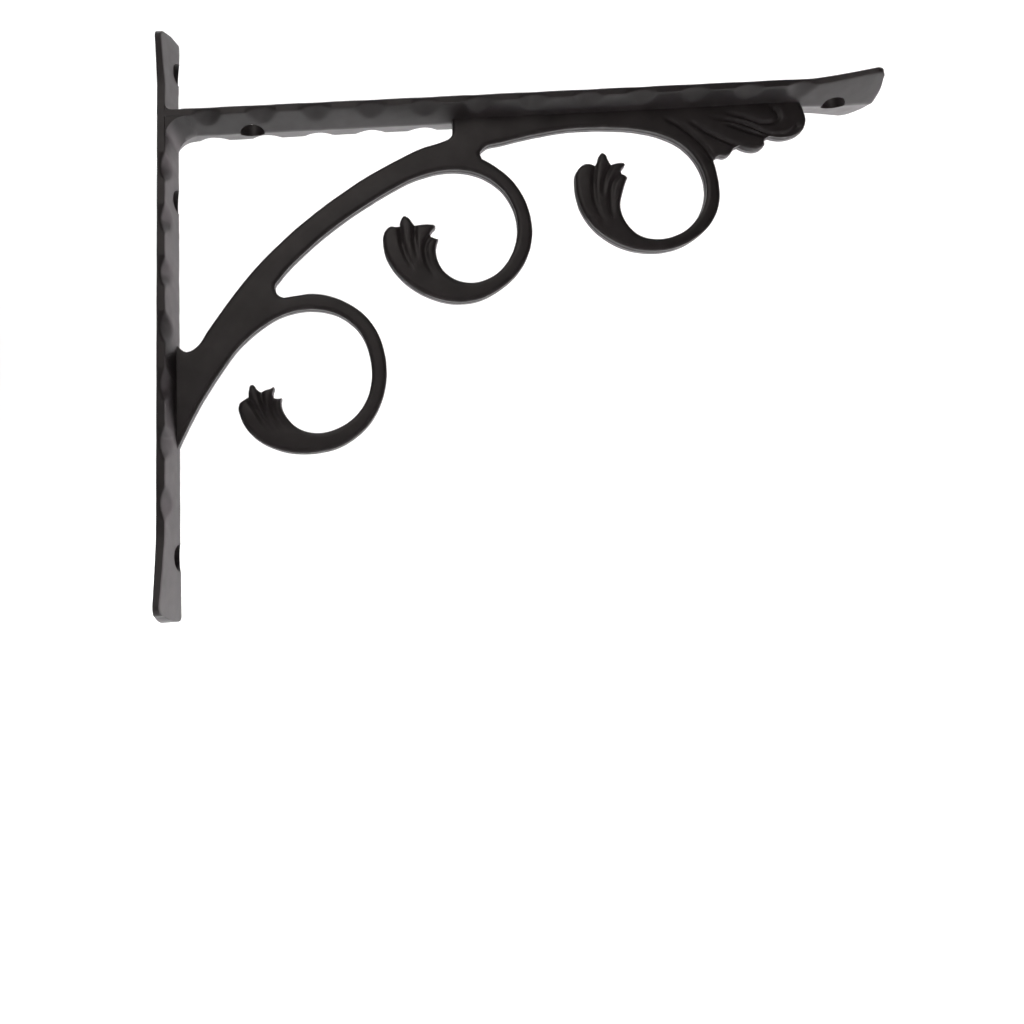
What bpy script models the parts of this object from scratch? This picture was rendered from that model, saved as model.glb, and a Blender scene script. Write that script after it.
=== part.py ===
# Decorative shelf bracket, one iron casting: a wall plate and a shelf arm of crowned bar
# with fishtail ends, joined by a curved brace that branches into three leaf-ended scrolls.
# X runs out from the wall along the arm, Y is the width, Z is up. The plate's back lies on
# X = 0, the arm's top face on Z = 0, and the casting is the same on both sides of Y = 0.
# Sizes are in millimetres and are turned into metres where each mesh is made.
import math

import bmesh
import bpy
import numpy as np
from mathutils.geometry import delaunay_2d_cdt

METRES = 0.001

# Crowned bar, shared by the wall plate and the shelf arm
HALF_WIDTH = 10.1
SIDE_THICKNESS = 2.8
RIDGE_THICKNESS = 5.66
END_SIDE_THICKNESS = 2.1
END_RIDGE_THICKNESS = 6.0
CORNER_RADIUS = 3.0
FLARE_POWER = 1.25
END_ROUNDING = 0.22
END_ROUNDING_SPAN = 1.25

# Where each bar's flares start, where their corners start, the half width there,
# and how far the middle of the end stands out
PLATE_TOP = {"start": 9.0, "corner": 26.2, "half": 13.9, "sag": 2.0}
PLATE_FOOT = {"start": -143.0, "corner": -163.5, "half": 14.8, "sag": 2.0}
ARM_TIP = {"start": 227.0, "corner": 246.8, "half": 15.6, "sag": 2.2}
ARM_ROOT = 1.0

# Hammer dents along both long edges of each bar
DENT_PITCH = 18.73
DENT_DEPTH = 0.8
DENT_HALF_LENGTH = 4.9
DENT_REACH = 6.0
PLATE_FIRST_DENT, PLATE_DENTS = -21.0, 7
ARM_FIRST_DENT, ARM_DENTS = 16.7, 12

# Screw holes, as heights on the plate and distances along the arm
HOLE_RADIUS = 4.2
TIP_HOLE_RADIUS = 4.0
PLATE_HOLES = (18.3, -30.4, -149.4)
ARM_HOLE, TIP_HOLE = 31.3, 237.3
HOLE_SIDES = 24
DRILL_LENGTH = 30.0

# Coves between the two bars, below and above the arm
INNER_COVE, UPPER_COVE = 7.0, 2.0
COVE_OVERLAP = 1.2
COVE_SIDE_GAP = 0.05

# Web: brace, scrolls and leaves
WEB_HALF = 2.3
EDGE_HALF = 1.55
EDGE_ROUND = 1.3
LONG_STEP, SHORT_STEP, GROOVE_STEP = 3.1, 1.5, 2.0
GROOVE_ROW_GAP = 1.35
LEAST_POINT_GAP = 0.9
BURIED_SIDE_POINTS, BURIED_TOP_POINTS = 8, 16
INSIDE_PLATE, INSIDE_ARM = 3.0, -3.2

COAT_COLOUR = (0.018, 0.016, 0.017, 1)
COAT_ROUGHNESS = 0.45

# The web's outline in order, as smooth edges through a few points each.
# Neighbouring edges meet at a corner, such as a leaf's tip or a notch.
FAN = (
    (
        (224.3, -3.2), (225.4, -7.0), (225.7, -12.2), (223.8, -15.8), (220.0, -17.6),
        (216.0, -18.0), (212.4, -17.2),
    ),
    (
        (212.4, -17.2), (210.0, -18.6), (209.6, -20.6), (207.0, -21.9), (203.5, -21.5),
        (200.9, -20.2),
    ),
    (
        (200.9, -20.2), (198.7, -21.2), (197.3, -23.1), (195.3, -23.9), (193.3, -23.6),
        (190.9, -25.6),
    ),
)
SCROLL_3_OUTER = (
    (190.9, -25.6), (191.6, -33.0), (190.8, -40.5), (187.5, -47.5), (182.5, -52.3), (175.0, -56.2),
    (167.0, -57.5), (159.0, -56.3), (151.5, -52.5), (146.0, -47.0), (142.8, -40.0), (141.8, -33.0),
    (142.2, -28.0),
)
LEAF_3 = (
    ((142.2, -28.0), (143.8, -25.6), (146.3, -24.2), (148.2, -24.4), (149.4, -25.1)),
    (
        (149.4, -25.1), (150.8, -22.8), (151.5, -21.0), (152.4, -20.3), (153.6, -21.0),
        (154.3, -23.0), (155.0, -25.0),
    ),
    (
        (155.0, -25.0), (156.6, -24.5), (158.3, -24.3), (159.5, -24.5), (160.0, -25.2),
        (159.6, -26.0), (158.7, -26.8), (158.3, -27.7), (158.4, -28.6),
    ),
    ((158.4, -28.6), (159.6, -29.3), (160.3, -30.2)),
)
SCROLL_3_INNER = (
    (160.3, -30.2), (158.0, -35.3), (156.5, -41.0), (158.0, -47.0), (162.0, -51.6), (168.0, -53.1),
    (175.5, -51.5), (182.5, -46.0), (186.5, -38.0), (186.8, -31.0), (184.8, -24.5), (180.5, -18.7),
    (174.0, -14.7), (166.0, -12.2), (155.0, -10.9), (143.0, -10.7), (130.0, -12.2), (118.0, -14.6),
    (112.0, -16.0), (110.2, -17.9), (110.6, -20.3),
)
SCROLL_2_OUTER = (
    (110.6, -20.3), (115.0, -23.5), (120.0, -28.6), (124.2, -37.0), (125.5, -46.0), (124.0, -54.5),
    (119.6, -62.0), (113.0, -67.7), (105.0, -71.3), (97.0, -71.7), (89.0, -69.2), (82.0, -64.5),
    (77.6, -59.2), (75.0, -53.5), (74.5, -49.0),
)
LEAF_2 = (
    ((74.5, -49.0), (75.3, -45.2), (77.5, -43.5), (79.0, -43.8), (80.6, -43.8)),
    ((80.6, -43.8), (80.8, -41.5), (82.1, -40.0), (83.9, -41.0), (84.7, -42.3), (85.5, -43.7)),
    (
        (85.5, -43.7), (88.0, -43.4), (90.5, -43.5), (92.4, -44.0), (92.7, -44.6),
        (91.9, -45.4), (91.0, -46.5), (90.6, -47.4), (90.9, -48.1),
    ),
    ((90.9, -48.1), (92.0, -48.6), (93.3, -49.1)),
)
SCROLL_2_INNER = (
    (93.3, -49.1), (92.2, -54.0), (94.3, -60.5), (98.5, -64.0), (104.0, -65.1), (110.5, -63.2),
    (116.5, -57.5), (120.1, -49.0), (120.2, -41.0), (116.5, -32.2), (110.0, -26.6), (103.0, -24.3),
    (96.0, -24.2), (88.5, -25.8), (78.0, -30.5), (69.0, -35.8), (60.0, -41.7), (50.0, -49.7),
    (39.6, -60.0), (37.6, -62.8), (38.3, -65.6), (40.4, -66.9),
)
SCROLL_1_OUTER = (
    (40.4, -66.9), (43.8, -66.5), (49.5, -66.0), (58.0, -68.1), (66.5, -74.0), (71.8, -83.0),
    (73.1, -92.0), (71.2, -103.0), (65.5, -112.0), (57.0, -117.6), (47.0, -119.3), (37.0, -117.6),
    (30.3, -113.9), (26.5, -109.5), (24.8, -105.2),
)
LEAF_1 = (
    ((24.8, -105.2), (24.6, -103.1), (25.1, -101.7), (26.2, -100.9), (27.9, -100.0)),
    ((27.9, -100.0), (28.0, -97.6), (28.6, -96.0), (29.5, -95.9), (30.5, -97.3), (32.0, -98.6)),
    (
        (32.0, -98.6), (33.4, -97.9), (35.0, -97.5), (36.2, -96.9), (36.4, -97.6),
        (36.0, -98.8), (35.9, -99.7), (36.1, -100.7),
    ),
    ((36.1, -100.7), (37.3, -100.9), (38.7, -100.8)),
)
SCROLL_1_INNER = (
    (38.7, -100.8), (38.5, -103.3), (40.2, -107.4), (44.5, -111.4), (51.0, -112.8), (58.0, -110.9),
    (64.5, -105.3), (67.7, -97.5), (67.8, -88.5), (64.5, -79.5), (58.0, -73.9), (49.0, -71.6),
    (40.5, -72.8), (32.0, -77.4), (25.0, -83.5), (19.0, -91.3), (13.0, -100.5), (8.2, -109.3),
    (5.3, -115.2), (INSIDE_PLATE, -120.0),
)
BRACE_TOP = (
    (INSIDE_PLATE, -78.0), (5.0, -81.3), (8.1, -83.7), (11.2, -82.3), (15.0, -77.0), (20.0, -70.0),
    (30.0, -57.4), (40.0, -47.3), (50.0, -38.8), (60.0, -31.5), (70.0, -25.0), (80.0, -19.7),
    (90.0, -15.4), (99.2, -11.8), (101.3, -8.6), (101.0, INSIDE_ARM),
)

# Grooves between the lobes of each leaf, from the notch towards the stem
LEAF_GROOVES = (
    ((149.4, -25.5), (148.0, -32.5), (147.8, -37.5), (150.6, -46.3)),
    ((155.0, -25.4), (152.1, -31.0), (150.8, -37.0)),
    ((158.0, -28.6), (155.2, -31.2), (153.3, -38.0), (153.7, -45.7)),
    ((80.5, -44.4), (80.9, -50.4), (81.8, -54.5), (84.5, -60.0)),
    ((85.5, -44.2), (85.2, -50.3), (85.9, -56.0)),
    ((90.4, -48.4), (88.9, -50.5), (88.6, -56.0), (91.4, -62.4)),
    ((27.9, -100.6), (30.3, -104.2), (32.6, -108.2), (36.5, -112.8)),
    ((31.9, -98.9), (32.5, -102.3), (34.9, -108.0), (38.2, -112.4)),
    ((35.9, -101.1), (35.5, -104.0), (37.2, -107.8), (41.0, -112.0)),
)
# Grooves of the fan under the arm's tip, from their root outwards
FAN_GROOVES = (
    ((196.8, -7.6), (203.6, -9.5), (210.9, -12.3), (214.6, -11.8), (216.2, -9.9), (214.9, -7.0)),
    ((191.0, -8.8), (203.2, -12.1), (214.2, -17.0), (219.7, -16.2), (222.4, -14.0)),
    ((195.7, -11.3), (200.7, -13.2), (207.3, -16.1), (211.6, -17.6)),
    ((174.9, -8.0), (180.9, -11.7), (186.0, -16.9), (188.9, -20.9), (190.6, -24.8)),
    ((184.1, -9.7), (189.4, -13.9), (195.0, -17.6), (200.6, -20.6)),
)
GROOVE_DEPTH, GROOVE_HALF_WIDTH = 0.85, 0.85
# Middle of each swelling, its reach and its height over the plain web
SWELLINGS = (
    ((151.5, -33.0), 8.5, 0.65), ((84.0, -52.0), 8.5, 0.65), ((31.8, -105.0), 7.0, 0.6),
    ((210.0, -12.0), 12.0, 0.45),
)


def spline(nodes, step):
    # Smooth curve through the nodes, sampled about every step
    nodes = np.array(nodes, float)
    if len(nodes) == 2:
        return nodes
    gaps = np.hypot(*np.diff(nodes, axis=0).T)
    slopes = np.diff(nodes, axis=0) / gaps[:, None]
    tangents = np.empty_like(nodes)
    before, after = gaps[:-1, None], gaps[1:, None]
    tangents[1:-1] = (slopes[:-1] * after + slopes[1:] * before) / (before + after)
    tangents[0] = 2 * slopes[0] - tangents[1]
    tangents[-1] = 2 * slopes[-1] - tangents[-2]
    points = []
    for i, gap in enumerate(gaps):
        count = max(1, round(gap / step))
        t = (np.arange(count) / count)[:, None]
        points.append(
            (2 * t**3 - 3 * t**2 + 1) * nodes[i]
            + (t**3 - 2 * t**2 + t) * gap * tangents[i]
            + (3 * t**2 - 2 * t**3) * nodes[i + 1]
            + (t**3 - t**2) * gap * tangents[i + 1]
        )
    return np.vstack(points + [nodes[-1:]])


def web_outline():
    # The closed outline, each edge's last point being the next edge's first
    edges = [spline(nodes, SHORT_STEP) for nodes in FAN]
    for outer, leaf, inner in (
        (SCROLL_3_OUTER, LEAF_3, SCROLL_3_INNER),
        (SCROLL_2_OUTER, LEAF_2, SCROLL_2_INNER),
        (SCROLL_1_OUTER, LEAF_1, SCROLL_1_INNER),
    ):
        edges.append(spline(outer, LONG_STEP))
        edges += [spline(nodes, SHORT_STEP) for nodes in leaf]
        edges.append(spline(inner, LONG_STEP))
    buried_side = np.linspace(SCROLL_1_INNER[-1], BRACE_TOP[0], BURIED_SIDE_POINTS)
    buried_top = np.linspace(BRACE_TOP[-1], FAN[0][0], BURIED_TOP_POINTS)
    edges += [buried_side, spline(BRACE_TOP, LONG_STEP), buried_top]
    return np.vstack([edge[:-1] for edge in edges])


def distance_along(points, line):
    # Each point's distance from a polyline, and how far along the line it lies, from 0 to 1
    a, b = line[:-1], line[1:]
    run = b - a
    t = ((points[:, None] - a) * run).sum(2) / (run**2).sum(1)
    t = np.clip(t, 0, 1)
    gap = np.linalg.norm(points[:, None] - (a + t[..., None] * run), axis=2)
    nearest = gap.argmin(1)
    rows = np.arange(len(points))
    return gap[rows, nearest], (nearest + t[rows, nearest]) / len(a)


def half_thickness(points, outline, grooves):
    closed = np.vstack([outline, outline[:1]])
    edge_gap = distance_along(points, closed)[0]
    rise = np.zeros(len(points))
    for middle, reach, height in SWELLINGS:
        rise += height * np.exp(-((points - middle) ** 2).sum(1) / reach**2)
    cut = np.zeros(len(points))
    for line, fades_out in grooves:
        gap, along = distance_along(points, line)
        fade = 1 - along**2 if fades_out else np.minimum(1, 3 * along)
        cut = np.maximum(cut, GROOVE_DEPTH * fade * np.exp(-((gap / GROOVE_HALF_WIDTH) ** 2)))
    full = WEB_HALF + rise - cut
    short = 1 - np.minimum(edge_gap / EDGE_ROUND, 1)
    return full - (full - EDGE_HALF) * short**2


def web_mesh():
    outline = web_outline()
    closed = np.vstack([outline, outline[:1]])
    grooves = [(spline(nodes, GROOVE_STEP), True) for nodes in LEAF_GROOVES]
    grooves += [(spline(nodes, GROOVE_STEP), False) for nodes in FAN_GROOVES]
    # Points inside: a row just in from the edge, and rows along and beside each groove
    run = np.roll(outline, -1, 0) - np.roll(outline, 1, 0)
    normal = np.stack([-run[:, 1], run[:, 0]], 1) / np.linalg.norm(run, axis=1)[:, None]
    following = np.roll(outline, -1, 0)
    area = (outline[:, 0] * following[:, 1] - following[:, 0] * outline[:, 1]).sum()
    normal *= math.copysign(1, area)
    inside = [outline + EDGE_ROUND * normal]
    for line, _ in grooves:
        run = np.gradient(line, axis=0)
        across = np.stack([-run[:, 1], run[:, 0]], 1) / np.linalg.norm(run, axis=1)[:, None]
        inside += [line + side * GROOVE_ROW_GAP * across for side in (-1, 0, 1)]
    inside = np.vstack(inside)
    inside = inside[distance_along(inside, closed)[0] > LEAST_POINT_GAP]
    kept = []
    for point in inside:
        if all(math.dist(point, other) > LEAST_POINT_GAP for other in kept):
            kept.append(point)
    points = [tuple(p) for p in outline] + [tuple(p) for p in kept]
    count = len(outline)
    rim = [(i, (i + 1) % count) for i in range(count)]
    flat, _, faces, _, _, _ = delaunay_2d_cdt(points, rim, [], 1, 1e-5)
    flat = np.array([tuple(p) for p in flat])
    half = half_thickness(flat, outline, grooves)
    vertices = [(x, -h, z) for (x, z), h in zip(flat, half)]
    vertices += [(x, h, z) for (x, z), h in zip(flat, half)]
    far = len(flat)
    polygons = []
    seen = set()
    for face in faces:
        polygons.append(tuple(face))
        polygons.append(tuple(i + far for i in reversed(face)))
        seen.update(zip(face, face[1:] + face[:1]))
    for a, b in sorted(seen):
        if (b, a) not in seen:
            polygons.append((b, a, a + far, b + far))
    return vertices, polygons


def clamp(value):
    return min(1.0, max(0.0, value))


def bar_sizes(s, ends):
    # Half width before the corners are rounded, side and ridge thickness, at a place s along
    for end in ends:
        e = (s - end["start"]) / (end["corner"] - end["start"])
        if e > 0:
            e = clamp(e)
            return (
                HALF_WIDTH + (end["half"] - HALF_WIDTH) * e**FLARE_POWER,
                SIDE_THICKNESS + (END_SIDE_THICKNESS - SIDE_THICKNESS) * e,
                RIDGE_THICKNESS + (END_RIDGE_THICKNESS - RIDGE_THICKNESS) * e,
            )
    return HALF_WIDTH, SIDE_THICKNESS, RIDGE_THICKNESS


def end_rows(end):
    # Places and half widths of the rows that round an end's corners and bow its middle
    way = math.copysign(1, end["corner"] - end["start"])
    rows = []
    for turn in (0, 22, 45, 68, 90):
        angle = math.radians(turn)
        half = end["half"] - CORNER_RADIUS * (1 - math.cos(angle))
        rows.append((end["corner"] + way * CORNER_RADIUS * math.sin(angle), half))
    last = rows[-1][1]
    for share in (0.75, 0.5, 0.25, 0.06):
        bow = end["sag"] * (1 - share**2)
        rows.append((end["corner"] + way * (CORNER_RADIUS + bow), last * share))
    return rows


def bar_mesh(ends, plain_start, first_dent, pitch, dents, place):
    # A crowned bar from rows of points; place turns (along, across, depth) into x, y, z
    middles = [first_dent + pitch * k for k in range(dents)]
    rows = []
    for middle in middles:
        rows += [(middle + share * DENT_HALF_LENGTH, None) for share in (-1, -0.5, 0, 0.5, 1)]
    for end in ends:
        rows += [(s, None) for s in np.linspace(end["start"], end["corner"], 6)[:-1]]
        rows += end_rows(end)
    if plain_start is not None:
        rows.append((plain_start, None))
    rows.sort(key=lambda row: row[0])
    shares = (-1, -0.8, -0.6, -0.4, -0.2, 0, 0.2, 0.4, 0.6, 0.8, 1)
    vertices = []
    for s, half in rows:
        full, side, ridge = bar_sizes(s, ends)
        half = half or full
        vertices.append(place(s, -half, 0))
        for share in shares:
            y = share * half
            depth = ridge - (ridge - side) * abs(y) / full
            for middle in middles:
                e = ((s - middle) / DENT_HALF_LENGTH) ** 2 + ((full - abs(y)) / DENT_REACH) ** 2
                depth -= DENT_DEPTH * max(0, 1 - e)
            depth *= 1 - END_ROUNDING * (1 - clamp(END_ROUNDING_SPAN * half / full)) ** 2
            vertices.append(place(s, y, depth))
        vertices.append(place(s, half, 0))
    width = len(shares) + 2
    polygons = [tuple(range(width)), tuple(range(len(vertices) - 1, len(vertices) - 1 - width, -1))]
    for row in range(len(rows) - 1):
        start = row * width
        for i in range(width):
            j = (i + 1) % width
            polygons.append((start + j, start + i, start + width + i, start + width + j))
    return vertices, polygons


def cove_mesh(radius, upper):
    # The fillet between plate and arm, following the crowned faces across the width
    vertices = []
    for y in (COVE_SIDE_GAP - HALF_WIDTH, 0, HALF_WIDTH - COVE_SIDE_GAP):
        depth = RIDGE_THICKNESS - (RIDGE_THICKNESS - SIDE_THICKNESS) * abs(y) / HALF_WIDTH
        base = 0 if upper else -depth
        way = 1 if upper else -1
        inner, behind = depth - COVE_OVERLAP, base - way * COVE_OVERLAP
        section = [(inner, behind), (inner, base + way * radius)]
        for turn in range(0, 91, 15):
            angle = math.radians(turn)
            out = radius * (1 - math.cos(angle))
            down = radius * (1 - math.sin(angle))
            section.append((depth + out, base + way * down))
        section.append((depth + radius, behind))
        vertices += [(x, y, z) for x, z in section]
    width = len(vertices) // 3
    polygons = [tuple(range(width)), tuple(range(3 * width - 1, 2 * width - 1, -1))]
    for row in range(2):
        for i in range(width):
            j = (i + 1) % width
            here, after = row * width, (row + 1) * width
            polygons.append((here + j, here + i, after + i, after + j))
    return vertices, polygons


def solid(name, vertices, polygons):
    # A closed mesh object in metres with its faces turned outwards
    mesh = bpy.data.meshes.new(name)
    mesh.from_pydata([tuple(METRES * c for c in v) for v in vertices], [], polygons)
    work = bmesh.new()
    work.from_mesh(mesh)
    bmesh.ops.triangulate(work, faces=[f for f in work.faces if len(f.verts) > 4])
    bmesh.ops.recalc_face_normals(work, faces=work.faces)
    work.to_mesh(mesh)
    work.free()
    item = bpy.data.objects.new(name, mesh)
    bpy.context.scene.collection.objects.link(item)
    return item


def drill(name, radius, centre, upright):
    # A cutter for one screw hole, upright through the arm or level through the plate
    bpy.ops.mesh.primitive_cylinder_add(
        vertices=HOLE_SIDES,
        radius=radius * METRES,
        depth=DRILL_LENGTH * METRES,
        location=[c * METRES for c in centre],
        rotation=(0, 0, 0) if upright else (0, math.pi / 2, 0),
    )
    cutter = bpy.context.object
    cutter.name = name
    return cutter


def combine(target, helper, operation):
    # The helper stays as a guide: the modifier joins it to the target or cuts it away
    helper.hide_render = True
    helper.display_type = "WIRE"
    modifier = target.modifiers.new(helper.name, "BOOLEAN")
    modifier.operation = operation
    modifier.solver = "EXACT"
    modifier.object = helper


def black_coat():
    # Satin black coat on cast iron
    material = bpy.data.materials.new("black_coat")
    material.use_nodes = True
    shader = material.node_tree.nodes["Principled BSDF"]
    shader.inputs["Base Color"].default_value = COAT_COLOUR
    shader.inputs["Roughness"].default_value = COAT_ROUGHNESS
    shader.inputs["Metallic"].default_value = 0.0
    return material


def main():
    for item in list(bpy.data.objects):
        bpy.data.objects.remove(item, do_unlink=True)
    web = solid("bracket", *web_mesh())
    plate = solid(
        "wall_plate_shape",
        *bar_mesh(
            (PLATE_TOP, PLATE_FOOT), None, PLATE_FIRST_DENT, -DENT_PITCH, PLATE_DENTS,
            lambda s, y, depth: (depth, y, s),
        ),
    )
    arm = solid(
        "shelf_arm_shape",
        *bar_mesh(
            (ARM_TIP,), ARM_ROOT, ARM_FIRST_DENT, DENT_PITCH, ARM_DENTS,
            lambda s, y, depth: (s, y, -depth),
        ),
    )
    inner_cove = solid("inner_cove_shape", *cove_mesh(INNER_COVE, False))
    upper_cove = solid("upper_cove_shape", *cove_mesh(UPPER_COVE, True))
    for helper in (plate, arm, inner_cove, upper_cove):
        combine(web, helper, "UNION")
    for i, height in enumerate(PLATE_HOLES):
        combine(web, drill(f"plate_hole_{i + 1}", HOLE_RADIUS, (0, 0, height), False), "DIFFERENCE")
    combine(web, drill("arm_hole", HOLE_RADIUS, (ARM_HOLE, 0, 0), True), "DIFFERENCE")
    combine(web, drill("tip_hole", TIP_HOLE_RADIUS, (TIP_HOLE, 0, 0), True), "DIFFERENCE")
    web.data.materials.append(black_coat())
    web.data.shade_smooth()


main()
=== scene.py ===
# Dresses the cast shelf bracket: the fine casting with its parting seam and hammered edges,
# its satin black coat, the studio and the camera.
import math
import bmesh
import bpy
import numpy as np
from mathutils import Matrix, Vector, noise
from mathutils.geometry import delaunay_2d_cdt


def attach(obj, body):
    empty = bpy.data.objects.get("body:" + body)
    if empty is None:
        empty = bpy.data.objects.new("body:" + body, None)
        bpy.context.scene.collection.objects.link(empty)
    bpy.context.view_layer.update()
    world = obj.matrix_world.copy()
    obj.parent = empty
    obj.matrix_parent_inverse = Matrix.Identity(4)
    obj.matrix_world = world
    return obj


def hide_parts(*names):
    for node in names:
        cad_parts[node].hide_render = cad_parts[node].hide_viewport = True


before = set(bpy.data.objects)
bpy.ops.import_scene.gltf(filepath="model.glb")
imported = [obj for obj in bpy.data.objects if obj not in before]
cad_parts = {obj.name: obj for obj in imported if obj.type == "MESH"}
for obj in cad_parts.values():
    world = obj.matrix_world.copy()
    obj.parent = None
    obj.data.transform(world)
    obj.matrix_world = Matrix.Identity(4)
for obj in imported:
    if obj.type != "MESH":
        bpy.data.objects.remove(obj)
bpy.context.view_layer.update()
print("stage 1: frame loaded")

mm = 0.001  # every size below is in millimetres

# The crowned bar of the wall plate and the shelf arm
bar = {
    "halfWidth": 10.1, "side": 2.8, "ridge": 5.66, "endSide": 2.1, "endRidge": 6.0,
    "cornerRadius": 3.0, "flarePower": 1.25, "endRounding": 0.22, "roundedSpan": 1.25,
    "arrisSoft": 0.55, "arrisDrop": 0.22, "backSoft": 0.35, "backSoftShare": 0.4,
    "dentDepth": 1.6, "dentHalf": 5.3, "dentReach": 5.6, "sideDent": 0.18, "dentedFrom": 5.0,
    "rowStep": 0.95, "sameRow": 0.01, "pointsAcross": 31, "edgeCrowding": 1.35,
    "cornerTurns": range(0, 91, 10), "bowShares": (0.88, 0.75, 0.62, 0.5, 0.37, 0.25, 0.14, 0.06),
}
plateTop = {"start": 9.0, "corner": 26.2, "half": 13.9, "sag": 1.97}
plateFoot = {"start": -143.0, "corner": -163.5, "half": 14.8, "sag": 2.0}
armTip = {"start": 227.0, "corner": 246.8, "half": 15.6, "sag": 2.2}
plate = {"ends": (plateTop, plateFoot), "root": None, "firstDent": -21.0, "pitch": -18.73, "dents": 7}
arm = {"ends": (armTip,), "root": 1.0, "firstDent": 16.7, "pitch": 18.73, "dents": 12}
holes = {
    "radius": 4.2, "tipRadius": 4.0, "plate": (18.3, -30.4, -149.4), "arm": 31.3, "tip": 237.3,
    "sides": 64, "drillLength": 30.0,
}
coves = {"inner": 7.0, "upper": 2.0, "turns": 12, "stations": 13, "sideGap": 0.25, "overlap": 1.2}

# The web: brace, scrolls and leaves, cast in one with the bars
web = {
    "half": 2.3, "edgeHalf": 1.72, "edgeRound": 0.95, "seamHeight": 0.13, "seamHalf": 0.22,
    "insidePlate": 3.0, "insideArm": -3.2, "longStep": 1.1, "shortStep": 0.5, "hiddenStep": 3.0,
    "grooveDepth": 0.85, "grooveHalf": 0.85, "grooveStep": 0.7, "fanRise": 3.0,
    "grooveRows": (-1.7, -1.25, -0.85, -0.45, 0.0, 0.45, 0.85, 1.25, 1.7),
    "rings": (0.2, 0.45, 0.7, 0.97, 1.7), "ringClear": 0.8, "rowClear": 0.3, "rowApart": 0.3,
    "fillStep": 1.5, "fillClear": 1.6, "fillApart": 0.8, "cell": 0.9, "weld": 1e-5, "batch": 800,
}
fanLobes = (
    (
        (224.3, -3.2), (225.4, -7.0), (225.7, -12.2), (223.8, -15.8), (220.0, -17.6),
        (216.0, -18.0), (212.4, -17.2),
    ),
    (
        (212.4, -17.2), (210.0, -18.6), (209.6, -20.6), (207.0, -21.9), (203.5, -21.5),
        (200.9, -20.2),
    ),
    (
        (200.9, -20.2), (198.7, -21.2), (197.3, -23.1), (195.3, -23.9), (193.3, -23.6),
        (190.9, -25.6),
    ),
)
scrollThree = {
    "outer": (
        (190.9, -25.6), (191.6, -33.0), (190.8, -40.5), (187.5, -47.5), (182.5, -52.3), (175.0, -56.2),
        (167.0, -57.5), (159.0, -56.3), (151.5, -52.5), (146.0, -47.0), (142.8, -40.0), (141.8, -33.0),
        (142.2, -28.0),
    ),
    "leaf": (
        ((142.2, -28.0), (143.8, -25.6), (146.3, -24.2), (148.2, -24.4), (149.4, -25.1)),
        (
            (149.4, -25.1), (150.8, -22.8), (151.5, -21.0), (152.4, -20.3), (153.6, -21.0),
            (154.3, -23.0), (155.0, -25.0),
        ),
        (
            (155.0, -25.0), (156.6, -24.5), (158.3, -24.3), (159.5, -24.5), (160.0, -25.2),
            (159.6, -26.0), (158.7, -26.8), (158.3, -27.7), (158.4, -28.6),
        ),
        ((158.4, -28.6), (159.6, -29.3), (160.3, -30.2)),
    ),
    "inner": (
        (160.3, -30.2), (158.0, -35.3), (156.5, -41.0), (158.0, -47.0), (162.0, -51.6), (168.0, -53.1),
        (175.5, -51.5), (182.5, -46.0), (186.5, -38.0), (186.8, -31.0), (184.8, -24.5), (180.5, -18.7),
        (174.0, -14.7), (166.0, -12.2), (155.0, -10.9), (143.0, -10.7), (130.0, -12.2), (118.0, -14.6),
        (112.0, -16.0), (110.2, -17.9), (110.6, -20.3),
    ),
}
scrollTwo = {
    "outer": (
        (110.6, -20.3), (115.0, -23.5), (120.0, -28.6), (124.2, -37.0), (125.5, -46.0), (124.0, -54.5),
        (119.6, -62.0), (113.0, -67.7), (105.0, -71.3), (97.0, -71.7), (89.0, -69.2), (82.0, -64.5),
        (77.6, -59.2), (75.0, -53.5), (74.5, -49.0),
    ),
    "leaf": (
        ((74.5, -49.0), (75.3, -45.2), (77.5, -43.5), (79.0, -43.8), (80.6, -43.8)),
        ((80.6, -43.8), (80.8, -41.5), (82.1, -40.0), (83.9, -41.0), (84.7, -42.3), (85.5, -43.7)),
        (
            (85.5, -43.7), (88.0, -43.4), (90.5, -43.5), (92.4, -44.0), (92.7, -44.6),
            (91.9, -45.4), (91.0, -46.5), (90.6, -47.4), (90.9, -48.1),
        ),
        ((90.9, -48.1), (92.0, -48.6), (93.3, -49.1)),
    ),
    "inner": (
        (93.3, -49.1), (92.2, -54.0), (94.3, -60.5), (98.5, -64.0), (104.0, -65.1), (110.5, -63.2),
        (116.5, -57.5), (120.1, -49.0), (120.2, -41.0), (116.5, -32.2), (110.0, -26.6), (103.0, -24.3),
        (96.0, -24.2), (88.5, -25.8), (78.0, -30.5), (69.0, -35.8), (60.0, -41.7), (50.0, -49.7),
        (39.6, -60.0), (37.6, -62.8), (38.3, -65.6), (40.4, -66.9),
    ),
}
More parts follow.
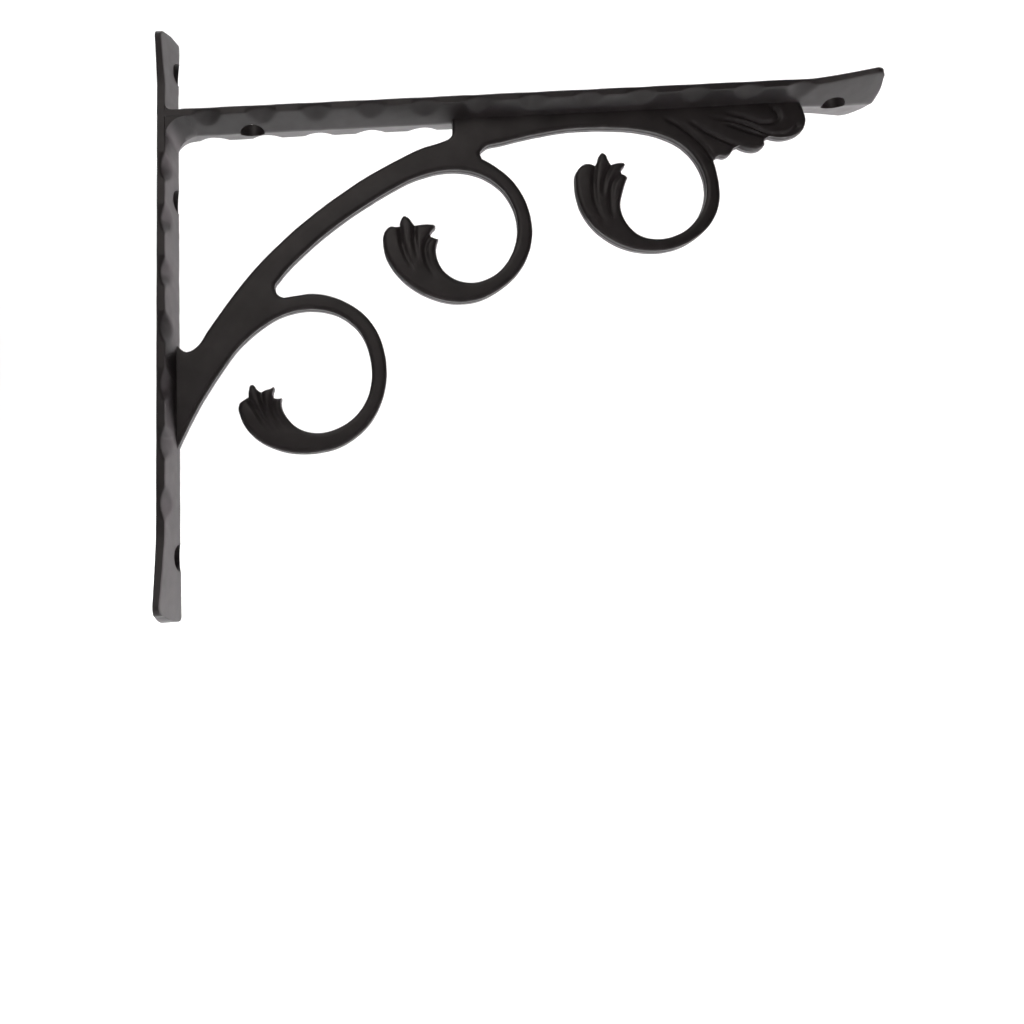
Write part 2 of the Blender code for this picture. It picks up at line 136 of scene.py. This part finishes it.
scrollOne = {
    "outer": (
        (40.4, -66.9), (43.8, -66.5), (49.5, -66.0), (58.0, -68.1), (66.5, -74.0), (71.8, -83.0),
        (73.1, -92.0), (71.2, -103.0), (65.5, -112.0), (57.0, -117.6), (47.0, -119.3), (37.0, -117.6),
        (30.3, -113.9), (26.5, -109.5), (24.8, -105.2),
    ),
    "leaf": (
        ((24.8, -105.2), (24.6, -103.1), (25.1, -101.7), (26.2, -100.9), (27.9, -100.0)),
        ((27.9, -100.0), (28.0, -97.6), (28.6, -96.0), (29.5, -95.9), (30.5, -97.3), (32.0, -98.6)),
        (
            (32.0, -98.6), (33.4, -97.9), (35.0, -97.5), (36.2, -96.9), (36.4, -97.6),
            (36.0, -98.8), (35.9, -99.7), (36.1, -100.7),
        ),
        ((36.1, -100.7), (37.3, -100.9), (38.7, -100.8)),
    ),
    "inner": (
        (38.7, -100.8), (38.5, -103.3), (40.2, -107.4), (44.5, -111.4), (51.0, -112.8), (58.0, -110.9),
        (64.5, -105.3), (67.7, -97.5), (67.8, -88.5), (64.5, -79.5), (58.0, -73.9), (49.0, -71.6),
        (40.5, -72.8), (32.0, -77.4), (25.0, -83.5), (19.0, -91.3), (13.0, -100.5), (8.2, -109.3),
        (5.3, -115.2), (web["insidePlate"], -120.0),
    ),
}
braceTop = (
    (web["insidePlate"], -78.0), (5.0, -81.3), (8.1, -83.7), (11.2, -82.3), (15.0, -77.0), (20.0, -70.0),
    (30.0, -57.4), (40.0, -47.3), (50.0, -38.8), (60.0, -31.5), (70.0, -25.0), (80.0, -19.7),
    (90.0, -15.1), (97.0, -13.1), (100.0, -11.7), (100.9, -10.3), (101.2, -8.5), (101.0, web["insideArm"]),
)
leafGrooves = (  # from each notch towards the stem
    ((149.4, -25.5), (148.0, -32.5), (147.8, -37.5), (150.6, -46.3)),
    ((155.0, -25.4), (152.1, -31.0), (150.8, -37.0)),
    ((158.0, -28.6), (155.2, -31.2), (153.3, -38.0), (153.7, -45.7)),
    ((80.5, -44.4), (80.9, -50.4), (81.8, -54.5), (84.5, -60.0)),
    ((85.5, -44.2), (85.2, -50.3), (85.9, -56.0)),
    ((90.4, -48.4), (88.9, -50.5), (88.6, -56.0), (91.4, -62.4)),
    ((27.9, -100.6), (30.3, -104.2), (32.6, -108.2), (36.5, -112.8)),
    ((31.9, -98.9), (32.5, -102.3), (34.9, -108.0), (38.2, -112.4)),
    ((35.9, -101.1), (35.5, -104.0), (37.2, -107.8), (41.0, -112.0)),
)
fanGrooves = (  # from the root outwards
    ((196.8, -7.6), (203.6, -9.5), (210.9, -12.3), (214.6, -11.8), (216.2, -9.9), (214.9, -7.0)),
    ((191.0, -8.8), (203.2, -12.1), (214.2, -17.0), (219.7, -16.2), (222.4, -14.0)),
    ((195.7, -11.3), (200.7, -13.2), (207.3, -16.1), (211.6, -17.6)),
    ((174.9, -8.0), (180.9, -11.7), (186.0, -16.9), (188.9, -20.9), (190.6, -24.8)),
    ((184.1, -9.7), (189.4, -13.9), (195.0, -17.6), (200.6, -20.6)),
)
swellings = (  # middle, reach and height of each leaf's swelling
    ((151.5, -33.0), 8.5, 0.65), ((84.0, -52.0), 8.5, 0.65), ((31.8, -105.0), 7.0, 0.6),
    ((210.0, -12.0), 12.0, 0.45),
)


def splinePoints(nodes, step):
    # a smooth line through the nodes, with a point at about every step
    nodes = np.array(nodes, float)
    if len(nodes) == 2:
        count = max(1, round(np.linalg.norm(nodes[1] - nodes[0]) / step))
        return np.linspace(nodes[0], nodes[1], count + 1)
    gaps = np.hypot(*np.diff(nodes, axis=0).T)
    slopes = np.diff(nodes, axis=0) / gaps[:, None]
    tangents = np.empty_like(nodes)
    before, after = gaps[:-1, None], gaps[1:, None]
    tangents[1:-1] = (slopes[:-1] * after + slopes[1:] * before) / (before + after)
    tangents[0] = 2 * slopes[0] - tangents[1]
    tangents[-1] = 2 * slopes[-1] - tangents[-2]
    points = []
    for i, gap in enumerate(gaps):
        count = max(1, round(gap / step))
        t = (np.arange(count) / count)[:, None]
        points.append(
            (2 * t**3 - 3 * t**2 + 1) * nodes[i]
            + (t**3 - 2 * t**2 + t) * gap * tangents[i]
            + (3 * t**2 - 2 * t**3) * nodes[i + 1]
            + (t**3 - t**2) * gap * tangents[i + 1]
        )
    return np.vstack(points + [nodes[-1:]])


def webOutline():
    # once round the web: fan, three scrolls with their leaves, then the brace's upper edge
    edges = [splinePoints(nodes, web["shortStep"]) for nodes in fanLobes]
    for limb in (scrollThree, scrollTwo, scrollOne):
        edges.append(splinePoints(limb["outer"], web["longStep"]))
        edges += [splinePoints(nodes, web["shortStep"]) for nodes in limb["leaf"]]
        edges.append(splinePoints(limb["inner"], web["longStep"]))
    edges.append(splinePoints((scrollOne["inner"][-1], braceTop[0]), web["hiddenStep"]))  # in the plate
    edges.append(splinePoints(braceTop, web["longStep"]))
    edges.append(splinePoints((braceTop[-1], fanLobes[0][0]), web["hiddenStep"]))  # in the arm
    return np.vstack([edge[:-1] for edge in edges])


def gapTo(points, line):
    # distance from a line of points, and the share of the way along it, worked in batches
    corners = line[:-1]
    run = line[1:] - corners
    runSquare = (run**2).sum(1)
    gaps, shares = [], []
    for start in range(0, len(points), web["batch"]):
        some = points[start:start + web["batch"]]
        t = np.clip(((some[:, None] - corners) * run).sum(2) / runSquare, 0, 1)
        gap = np.linalg.norm(some[:, None] - (corners + t[..., None] * run), axis=2)
        near = gap.argmin(1)
        row = np.arange(len(some))
        gaps.append(gap[row, near])
        shares.append((near + t[row, near]) / len(corners))
    return np.concatenate(gaps), np.concatenate(shares)


def halfThickness(points, edgeGap, grooves):
    # swollen in the leaves, cut along the grooves, and eased towards the rim
    rise = np.zeros(len(points))
    for middle, reach, height in swellings:
        rise += height * np.exp(-((points - middle) ** 2).sum(1) / reach**2)
    cut = np.zeros(len(points))
    for line, leafy in grooves:
        gap, along = gapTo(points, line)
        fade = 1 - along**2 if leafy else np.minimum(1, web["fanRise"] * along)
        cut = np.maximum(cut, web["grooveDepth"] * fade * np.exp(-((gap / web["grooveHalf"]) ** 2)))
    full = web["half"] + rise - cut
    short = 1 - np.minimum(edgeGap / web["edgeRound"], 1)
    return full - (full - web["edgeHalf"]) * short**2


def acrossFrom(run):
    return np.stack([-run[:, 1], run[:, 0]], 1) / np.linalg.norm(run, axis=1)[:, None]


def inwardFrom(outline):
    after = np.roll(outline, -1, 0)
    area = (outline[:, 0] * after[:, 1] - after[:, 0] * outline[:, 1]).sum()
    return acrossFrom(after - np.roll(outline, 1, 0)) * math.copysign(1, area)


def innerPoints(outline, closed, inward, grooves):
    # rings inside the rim, rows beside the grooves, then an even fill, none too near another
    rows = [(outline + ring * inward, web["ringClear"] * ring, web["rowApart"]) for ring in web["rings"]]
    for line, _ in grooves:
        across = acrossFrom(np.gradient(line, axis=0))
        for side in web["grooveRows"]:
            rows.append((line + side * across, web["rowClear"], web["rowApart"]))
    low, high = outline.min(0), outline.max(0)
    gridX, gridZ = np.meshgrid(*(np.arange(low[k], high[k], web["fillStep"]) for k in (0, 1)))
    rows.append((np.stack([gridX.ravel(), gridZ.ravel()], 1), web["fillClear"], web["fillApart"]))
    taken, inside = {}, []
    for points, clear, apart in rows:
        for point in points[gapTo(points, closed)[0] > clear]:
            column, row = (int(value // web["cell"]) for value in point)
            near = []
            for i in (-1, 0, 1):
                for j in (-1, 0, 1):
                    near += taken.get((column + i, row + j), ())
            if all((point[0] - x) ** 2 + (point[1] - z) ** 2 > apart**2 for x, z in near):
                taken.setdefault((column, row), []).append(point)
                inside.append(point)
    return inside


def seamPoints(place, outward):
    # the raised seam that the two mould halves leave along the middle of the rim
    (x, z), (outX, outZ) = place, outward
    lift, half = web["seamHeight"], web["seamHalf"]
    return [(x, -half, z), (x + lift * outX, 0.0, z + lift * outZ), (x, half, z)]


def webMesh():
    outline = webOutline()
    closed = np.vstack([outline, outline[:1]])
    inward = inwardFrom(outline)
    grooves = [(splinePoints(nodes, web["grooveStep"]), True) for nodes in leafGrooves]
    grooves += [(splinePoints(nodes, web["grooveStep"]), False) for nodes in fanGrooves]
    inside = innerPoints(outline, closed, inward, grooves)
    count = len(outline)
    points = [tuple(p) for p in outline] + [tuple(p) for p in inside]
    rim = [(i, (i + 1) % count) for i in range(count)]
    flat, _, faces, origins, _, _ = delaunay_2d_cdt(points, rim, [], 1, web["weld"])
    flat = np.array([tuple(p) for p in flat])
    half = halfThickness(flat, gapTo(flat, closed)[0], grooves)
    far = len(flat)
    vertices = [(x, way * h, z) for way in (-1, 1) for (x, z), h in zip(flat, half)]
    polygons, sides = [], set()
    for face in faces:
        polygons.append(tuple(face))
        polygons.append(tuple(i + far for i in reversed(face)))
        sides.update(zip(face, face[1:] + face[:1]))
    outward = {i: -inward[found[0]] for i, found in enumerate(origins) if found and found[0] < count}
    columns = {}
    for a, b in sorted(sides):
        if (b, a) in sides:
            continue  # it lies between two faces, so it isn't on the rim
        for i in (a, b):
            if i not in columns:
                columns[i] = [i, *range(len(vertices), len(vertices) + 3), i + far]
                vertices += seamPoints(flat[i], outward.get(i, (0.0, 0.0)))
        first, second = columns[a], columns[b]
        for k in range(len(first) - 1):
            polygons.append((second[k], first[k], first[k + 1], second[k + 1]))
    return vertices, polygons


def clamp(value):
    return min(1.0, max(0.0, value))


def barSizes(s, ends):
    # half width, side height and ridge height, which change towards a flared end
    for end in ends:
        share = (s - end["start"]) / (end["corner"] - end["start"])
        if share > 0:
            share = clamp(share)
            return (
                bar["halfWidth"] + (end["half"] - bar["halfWidth"]) * share ** bar["flarePower"],
                bar["side"] + (bar["endSide"] - bar["side"]) * share,
                bar["ridge"] + (bar["endRidge"] - bar["ridge"]) * share,
            )
    return bar["halfWidth"], bar["side"], bar["ridge"]


def endRows(end):
    # place and half width of the rings round an end's corners and along its bowed edge
    corner, radius = end["corner"], bar["cornerRadius"]
    way = math.copysign(1, corner - end["start"])
    rows = []
    for turn in bar["cornerTurns"]:
        angle = math.radians(turn)
        rows.append((corner + way * radius * math.sin(angle), end["half"] - radius * (1 - math.cos(angle))))
    last = rows[-1][1]
    for share in bar["bowShares"]:
        rows.append((corner + way * (radius + end["sag"] * (1 - share**2)), last * share))
    return rows


def barRows(shape):
    ends = shape["ends"]
    first = shape["root"] if shape["root"] is not None else ends[1]["corner"]
    count = round((ends[0]["corner"] - first) / bar["rowStep"])
    rows = [(s, None) for s in np.linspace(first, ends[0]["corner"], count + 1)]
    for end in ends:
        rows = [row for row in rows if abs(row[0] - end["corner"]) > bar["sameRow"]] + endRows(end)
    return sorted(rows, key=lambda row: row[0])


def barRing(s, half, ends, middles, shares):
    # (sideways, depth) round the bar at s, with the hammer dents that reach it
    full, side, ridge = barSizes(s, ends)
    half = half or full
    if half > bar["dentedFrom"]:
        half -= sum(bar["sideDent"] * max(0, 1 - ((s - m) / bar["dentHalf"]) ** 2) for m in middles)
    soft = min(bar["backSoft"], bar["backSoftShare"] * half)
    ring = [(-half + soft, 0), (-half, soft)]
    for share in shares:
        y = share * half
        depth = ridge - (ridge - side) * abs(y) / full
        for m in middles:
            away = ((s - m) / bar["dentHalf"]) ** 2 + (full - abs(y)) / bar["dentReach"]
            depth -= bar["dentDepth"] * max(0, 1 - away)
        over = max(0, abs(y) - (half - bar["arrisSoft"])) / bar["arrisSoft"]
        depth -= bar["arrisDrop"] * over**2
        depth *= 1 - bar["endRounding"] * (1 - clamp(half / full * bar["roundedSpan"])) ** 2
        ring.append((y, depth))
    return ring + [(half, soft), (half - soft, 0)]


def loftFaces(width, count):
    # the two caps and the side faces of a run of count rings, each of width points
    last = width * count - 1
    polygons = [tuple(range(width)), tuple(range(last, last - width, -1))]
    for start in range(0, last + 1 - width, width):
        for i in range(width):
            j = (i + 1) % width
            polygons.append((start + j, start + i, start + width + i, start + width + j))
    return polygons


def barMesh(shape, place):
    middles = [shape["firstDent"] + shape["pitch"] * k for k in range(shape["dents"])]
    across = np.linspace(-1, 1, bar["pointsAcross"])
    shares = [math.copysign(1 - (1 - abs(t)) ** bar["edgeCrowding"], t) for t in across]
    rows = barRows(shape)
    vertices = []
    for s, half in rows:
        ring = barRing(s, half, shape["ends"], middles, shares)
        vertices += [place(s, y, depth) for y, depth in ring]
    return vertices, loftFaces(len(ring), len(rows))


def coveMesh(radius, upper):
    # the hollow round in the corner of plate and arm, above or under the arm
    way = 1 if upper else -1
    overlap = coves["overlap"]
    half = bar["halfWidth"] - coves["sideGap"]
    vertices = []
    for y in np.linspace(-half, half, coves["stations"]):
        depth = bar["ridge"] - (bar["ridge"] - bar["side"]) * abs(y) / bar["halfWidth"]
        base = 0 if upper else -depth
        section = [(depth - overlap, base - way * overlap), (depth - overlap, base + way * radius)]
        for k in range(coves["turns"] + 1):
            angle = math.pi / 2 * k / coves["turns"]
            rise = way * radius * (1 - math.sin(angle))
            section.append((depth + radius * (1 - math.cos(angle)), base + rise))
        section.append((depth + radius, base - way * overlap))
        vertices += [(x, y, z) for x, z in section]
    return vertices, loftFaces(len(section), coves["stations"])


def meshObject(name, vertices, polygons):
    mesh = bpy.data.meshes.new(name)
    mesh.from_pydata([tuple(mm * c for c in v) for v in vertices], [], polygons)
    work = bmesh.new()
    work.from_mesh(mesh)
    bmesh.ops.triangulate(work, faces=[f for f in work.faces if len(f.verts) > 4])
    bmesh.ops.recalc_face_normals(work, faces=work.faces)
    work.to_mesh(mesh)
    work.free()
    item = bpy.data.objects.new(name, mesh)
    bpy.context.scene.collection.objects.link(item)
    return item


def holeCutter(name, radius, centre, upright):
    bpy.ops.mesh.primitive_cylinder_add(
        vertices=holes["sides"], radius=radius * mm, depth=holes["drillLength"] * mm,
        location=[c * mm for c in centre], rotation=(0, 0 if upright else math.pi / 2, 0))
    cutter = bpy.context.object
    cutter.name = name
    return cutter


def takeIn(target, helpers, operation):
    # joins or cuts with each helper in turn, keeps the result as plain mesh and drops the helpers
    for helper in helpers:
        step = target.modifiers.new(helper.name, "BOOLEAN")
        step.operation = operation
        step.solver = "EXACT"
        step.object = helper
    bpy.context.view_layer.update()
    graph = bpy.context.evaluated_depsgraph_get()
    done = bpy.data.meshes.new_from_object(target.evaluated_get(graph))
    target.modifiers.clear()
    target.data = done
    for helper in helpers:
        bpy.data.objects.remove(helper, do_unlink=True)


casting = {
    "wave": 0.08, "waveSize": 9.0, "ripple": 0.045, "rippleSize": 2.6, "rippleShift": (7, 3, 1),
    "flatGuard": 1.5, "pastPlate": 8.0, "sharpAngle": 42.0,
}


def castUnevenness(item):
    # slight waves of a sand casting, fading out on the faces that lie on wall and shelf
    mesh = item.data
    normals = [v.normal.copy() for v in mesh.vertices]
    for vertex, normal in zip(mesh.vertices, normals):
        p = vertex.co / mm
        fromFlat = min(p.x, -p.z) if p.x > casting["pastPlate"] else p.x
        keep = clamp(fromFlat / casting["flatGuard"])
        wave = casting["wave"] * noise.noise(p / casting["waveSize"])
        wave += casting["ripple"] * noise.noise(p / casting["rippleSize"] + Vector(casting["rippleShift"]))
        vertex.co += normal * (mm * keep * (wave - casting["wave"] - casting["ripple"]))


def makeCasting():
    item = meshObject("bracket_casting", *barMesh(plate, lambda s, y, depth: (depth, y, s)))
    shelfArm = meshObject("shelfArmShape", *barMesh(arm, lambda s, y, depth: (s, y, -depth)))
    cove = meshObject("innerCoveShape", *coveMesh(coves["inner"], False))
    upperCove = meshObject("upperCoveShape", *coveMesh(coves["upper"], True))
    takeIn(item, [shelfArm, cove, upperCove], "UNION")
    print("stage 2: bars joined", len(item.data.polygons))
    webPiece = meshObject("webShape", *webMesh())
    print("stage 3: web made", len(webPiece.data.polygons))
    takeIn(item, [webPiece], "UNION")
    drills = []
    for i, z in enumerate(holes["plate"]):
        drills.append(holeCutter(f"plateHole{i}", holes["radius"], (0, 0, z), False))
    drills.append(holeCutter("armHole", holes["radius"], (holes["arm"], 0, 0), True))
    drills.append(holeCutter("tipHole", holes["tipRadius"], (holes["tip"], 0, 0), True))
    takeIn(item, drills, "DIFFERENCE")
    castUnevenness(item)
    item.data.shade_smooth()
    item.data.set_sharp_from_angle(angle=math.radians(casting["sharpAngle"]))
    print("stage 4: casting done", len(item.data.polygons))
    return item


coat = {
    "dark": (0.0125, 0.0100, 0.0103, 1), "pale": (0.024, 0.0195, 0.0205, 1),
    "darkPlace": 0.35, "palePlace": 0.72, "mottleScale": 90.0, "mottleDetail": 5,
    "worn": (0.050, 0.042, 0.044, 1), "wornFrom": 0.53, "wornTo": 0.66, "specular": 0.55,
    "roughLow": 0.36, "roughHigh": 0.52, "roughScale": 225.0, "roughDetail": 4, "noiseRoughness": 0.55,
    "pits": (520.0, 0.16), "grain": (1500.0, 0.10), "bumpDetail": 3, "bumpDistance": 0.00012,
}


def coatMaterial():
    material = bpy.data.materials.new("satinBlackCoat")
    material.use_nodes = True
    nodes, links = material.node_tree.nodes, material.node_tree.links
    shader = nodes["Principled BSDF"]
    shader.inputs["Metallic"].default_value = 0.0
    shader.inputs["Specular IOR Level"].default_value = coat["specular"]
    place = nodes.new("ShaderNodeTexCoord")

    def cloud(scale, detail):
        node = nodes.new("ShaderNodeTexNoise")
        node.inputs["Scale"].default_value = scale
        node.inputs["Detail"].default_value = detail
        node.inputs["Roughness"].default_value = coat["noiseRoughness"]
        links.new(place.outputs["Object"], node.inputs["Vector"])
        return node

    mottle = cloud(coat["mottleScale"], coat["mottleDetail"])
    tone = nodes.new("ShaderNodeValToRGB")  # thin and thick coat
    for stop, name in zip(tone.color_ramp.elements, ("dark", "pale")):
        stop.position = coat[name + "Place"]
        stop.color = coat[name]
    links.new(mottle.outputs["Fac"], tone.inputs["Fac"])
    shape = nodes.new("ShaderNodeNewGeometry")
    edge = nodes.new("ShaderNodeMapRange")  # rubbed edges and arrises
    edge.inputs["From Min"].default_value = coat["wornFrom"]
    edge.inputs["From Max"].default_value = coat["wornTo"]
    links.new(shape.outputs["Pointiness"], edge.inputs["Value"])
    patchy = nodes.new("ShaderNodeMath")
    patchy.operation = "MULTIPLY"
    links.new(edge.outputs["Result"], patchy.inputs[0])
    links.new(mottle.outputs["Fac"], patchy.inputs[1])
    blend = nodes.new("ShaderNodeMix")
    blend.data_type = "RGBA"
    links.new(patchy.outputs["Value"], blend.inputs["Factor"])
    links.new(tone.outputs["Color"], blend.inputs["A"])
    blend.inputs["B"].default_value = coat["worn"]
    links.new(blend.outputs["Result"], shader.inputs["Base Color"])
    rough = nodes.new("ShaderNodeMapRange")
    rough.inputs["To Min"].default_value = coat["roughLow"]
    rough.inputs["To Max"].default_value = coat["roughHigh"]
    links.new(cloud(coat["roughScale"], coat["roughDetail"]).outputs["Fac"], rough.inputs["Value"])
    links.new(rough.outputs["Result"], shader.inputs["Roughness"])
    normal = None
    for scale, strength in (coat["pits"], coat["grain"]):
        bump = nodes.new("ShaderNodeBump")
        bump.inputs["Strength"].default_value = strength
        bump.inputs["Distance"].default_value = coat["bumpDistance"]
        links.new(cloud(scale, coat["bumpDetail"]).outputs["Fac"], bump.inputs["Height"])
        if normal:
            links.new(normal, bump.inputs["Normal"])
        normal = bump.outputs["Normal"]
    links.new(normal, shader.inputs["Normal"])
    return material


bracket = makeCasting()
bracket.data.materials.clear()
bracket.data.materials.append(coatMaterial())
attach(bracket, "root")
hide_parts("bracket")
print("stage 5: coat on")

studio = {
    "floorHeight": -0.30, "wallPlace": 0.75, "wallTop": 2.2, "bend": 0.30, "bendSteps": 12,
    "halfSpan": 3.0, "front": -3.0, "floorColour": (0.92, 0.92, 0.92, 1), "floorRoughness": 0.9,
    "room": (0.075, 0.069, 0.068, 1), "roomStrength": 1.0,
}
# Soft boxes: place, target, width, height, power, spread in degrees and colour
lamps = {
    "sweepLight": ((0.25, 0.42, 1.45), (0.25, 0.72, 0.0), 1.8, 0.5, 15.0, 70, (1.0, 1.0, 1.0)),
    "sideBox": ((1.10, 0.62, -0.02), (0.12, 0.0, -0.06), 0.8, 1.1, 11.0, 180, (1.0, 0.89, 0.93)),
    "frontBox": ((-0.15, -1.3, 0.75), (0.12, 0.0, -0.06), 1.0, 1.0, 4.2, 180, (1.0, 0.93, 0.90)),
}


def makeSweep():
    # pale floor that curves up into a wall behind the bracket
    wall, floor, bend, steps = (studio[key] for key in ("wallPlace", "floorHeight", "bend", "bendSteps"))
    profile = [(studio["front"], floor)]
    for k in range(steps + 1):
        angle = math.pi / 2 * k / steps
        profile.append((wall - bend * (1 - math.sin(angle)), floor + bend * (1 - math.cos(angle))))
    profile.append((wall, studio["wallTop"]))
    vertices = [(side * studio["halfSpan"], y, z) for y, z in profile for side in (-1, 1)]
    polygons = [(2 * k, 2 * k + 1, 2 * k + 3, 2 * k + 2) for k in range(len(profile) - 1)]
    mesh = bpy.data.meshes.new("studioSweep")
    mesh.from_pydata(vertices, [], polygons)
    sweep = bpy.data.objects.new("studioSweep", mesh)
    bpy.context.scene.collection.objects.link(sweep)
    paint = bpy.data.materials.new("paleFloor")
    paint.use_nodes = True
    shader = paint.node_tree.nodes["Principled BSDF"]
    shader.inputs["Base Color"].default_value = studio["floorColour"]
    shader.inputs["Roughness"].default_value = studio["floorRoughness"]
    mesh.materials.append(paint)
    mesh.shade_smooth()


def makeLamps():
    for name, (place, target, width, height, power, spread, colour) in lamps.items():
        lamp = bpy.data.lights.new(name, "AREA")
        lamp.shape = "RECTANGLE"
        lamp.size, lamp.size_y = width, height
        lamp.energy = power
        lamp.spread = math.radians(spread)
        lamp.color = colour
        box = bpy.data.objects.new(name, lamp)
        box.location = place
        box.rotation_euler = (Vector(target) - box.location).to_track_quat("-Z", "Y").to_euler()
        bpy.context.scene.collection.objects.link(box)
    world = bpy.data.worlds.new("studioRoom")
    bpy.context.scene.world = world
    world.use_nodes = True
    room = world.node_tree.nodes["Background"]
    room.inputs["Color"].default_value = studio["room"]
    room.inputs["Strength"].default_value = studio["roomStrength"]


# Camera: place in metres, turn in radians, focal length and principal point in photo pixels
view = {
    "place": (0.06438, -0.3062, -0.1649), "yaw": 0.0266, "pitch": 0.2634, "roll": -0.06122,
    "focalPixels": 960.0, "middle": (383.1, 338.2), "picture": 1024, "sensor": 36.0, "clipStart": 0.01,
}


def makeCamera():
    yaw, pitch, roll = view["yaw"], view["pitch"], view["roll"]
    ahead = Vector((math.sin(yaw) * math.cos(pitch), math.cos(yaw) * math.cos(pitch), math.sin(pitch)))
    right = Vector((math.cos(yaw), -math.sin(yaw), 0))
    up = right.cross(ahead)
    turnedRight = math.cos(roll) * right + math.sin(roll) * up
    turnedUp = -math.sin(roll) * right + math.cos(roll) * up
    data = bpy.data.cameras.new("viewCamera")
    data.sensor_width = view["sensor"]
    data.lens = view["sensor"] * view["focalPixels"] / view["picture"]
    data.shift_x = (view["picture"] / 2 - view["middle"][0]) / view["picture"]
    data.shift_y = (view["middle"][1] - view["picture"] / 2) / view["picture"]
    data.clip_start = view["clipStart"]
    camera = bpy.data.objects.new("viewCamera", data)
    turn = Matrix((turnedRight, turnedUp, -ahead)).transposed()
    camera.matrix_world = Matrix.Translation(view["place"]) @ turn.to_4x4()
    bpy.context.scene.collection.objects.link(camera)
    bpy.context.scene.camera = camera


makeSweep()
makeLamps()
makeCamera()
bpy.context.scene.view_settings.view_transform = "Standard"
print("stage 6: studio and camera ready")
